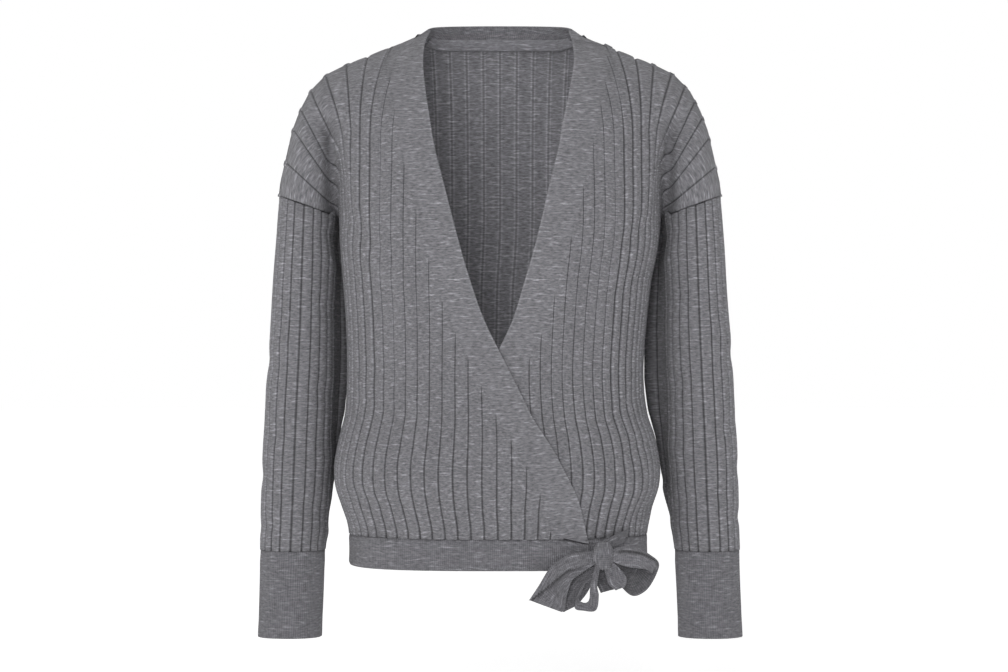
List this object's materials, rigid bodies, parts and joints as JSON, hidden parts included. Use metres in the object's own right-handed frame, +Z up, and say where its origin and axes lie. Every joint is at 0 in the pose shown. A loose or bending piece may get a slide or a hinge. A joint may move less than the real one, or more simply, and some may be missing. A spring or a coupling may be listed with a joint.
{
  "type": "wrap cardigan, worn with no wearer",
  "caption": "Wide-rib knitted V-neck wrap cardigan with dropped shoulders and long cuffed sleeves, tied in a bow at the left hip.",
  "frame": {"origin": "centre of the neck opening, level with the points where the shoulder seams meet the neck", "axes": "+Z up, front towards -Y, wearer's right towards -X"},
  "size_m": [0.5088, 0.2227, 0.647],
  "materials": {
    "rib_knit": "matte",
    "fine_rib": "matte",
    "self_tape": "matte"
  },
  "bodies": {
    "root": {"back": "rib_knit", "front_right": "rib_knit", "front_left": "rib_knit", "sleeve_right": "rib_knit", "sleeve_left": "rib_knit", "cuff_right": "fine_rib", "cuff_left": "fine_rib", "waistband_back": "fine_rib", "waistband_right": "fine_rib", "waistband_left": "fine_rib", "back_neckband": "fine_rib", "neck_tape": "self_tape", "tie_knot": "fine_rib", "tie_tail_front": "fine_rib", "tie_tail_back": "fine_rib", "tie_loop_low": "fine_rib", "tie_loop_back": "fine_rib", "tie_loop_small": "fine_rib", "tie_loop_large": "fine_rib", "tie_root": "fine_rib"}
  },
  "joints": []
}
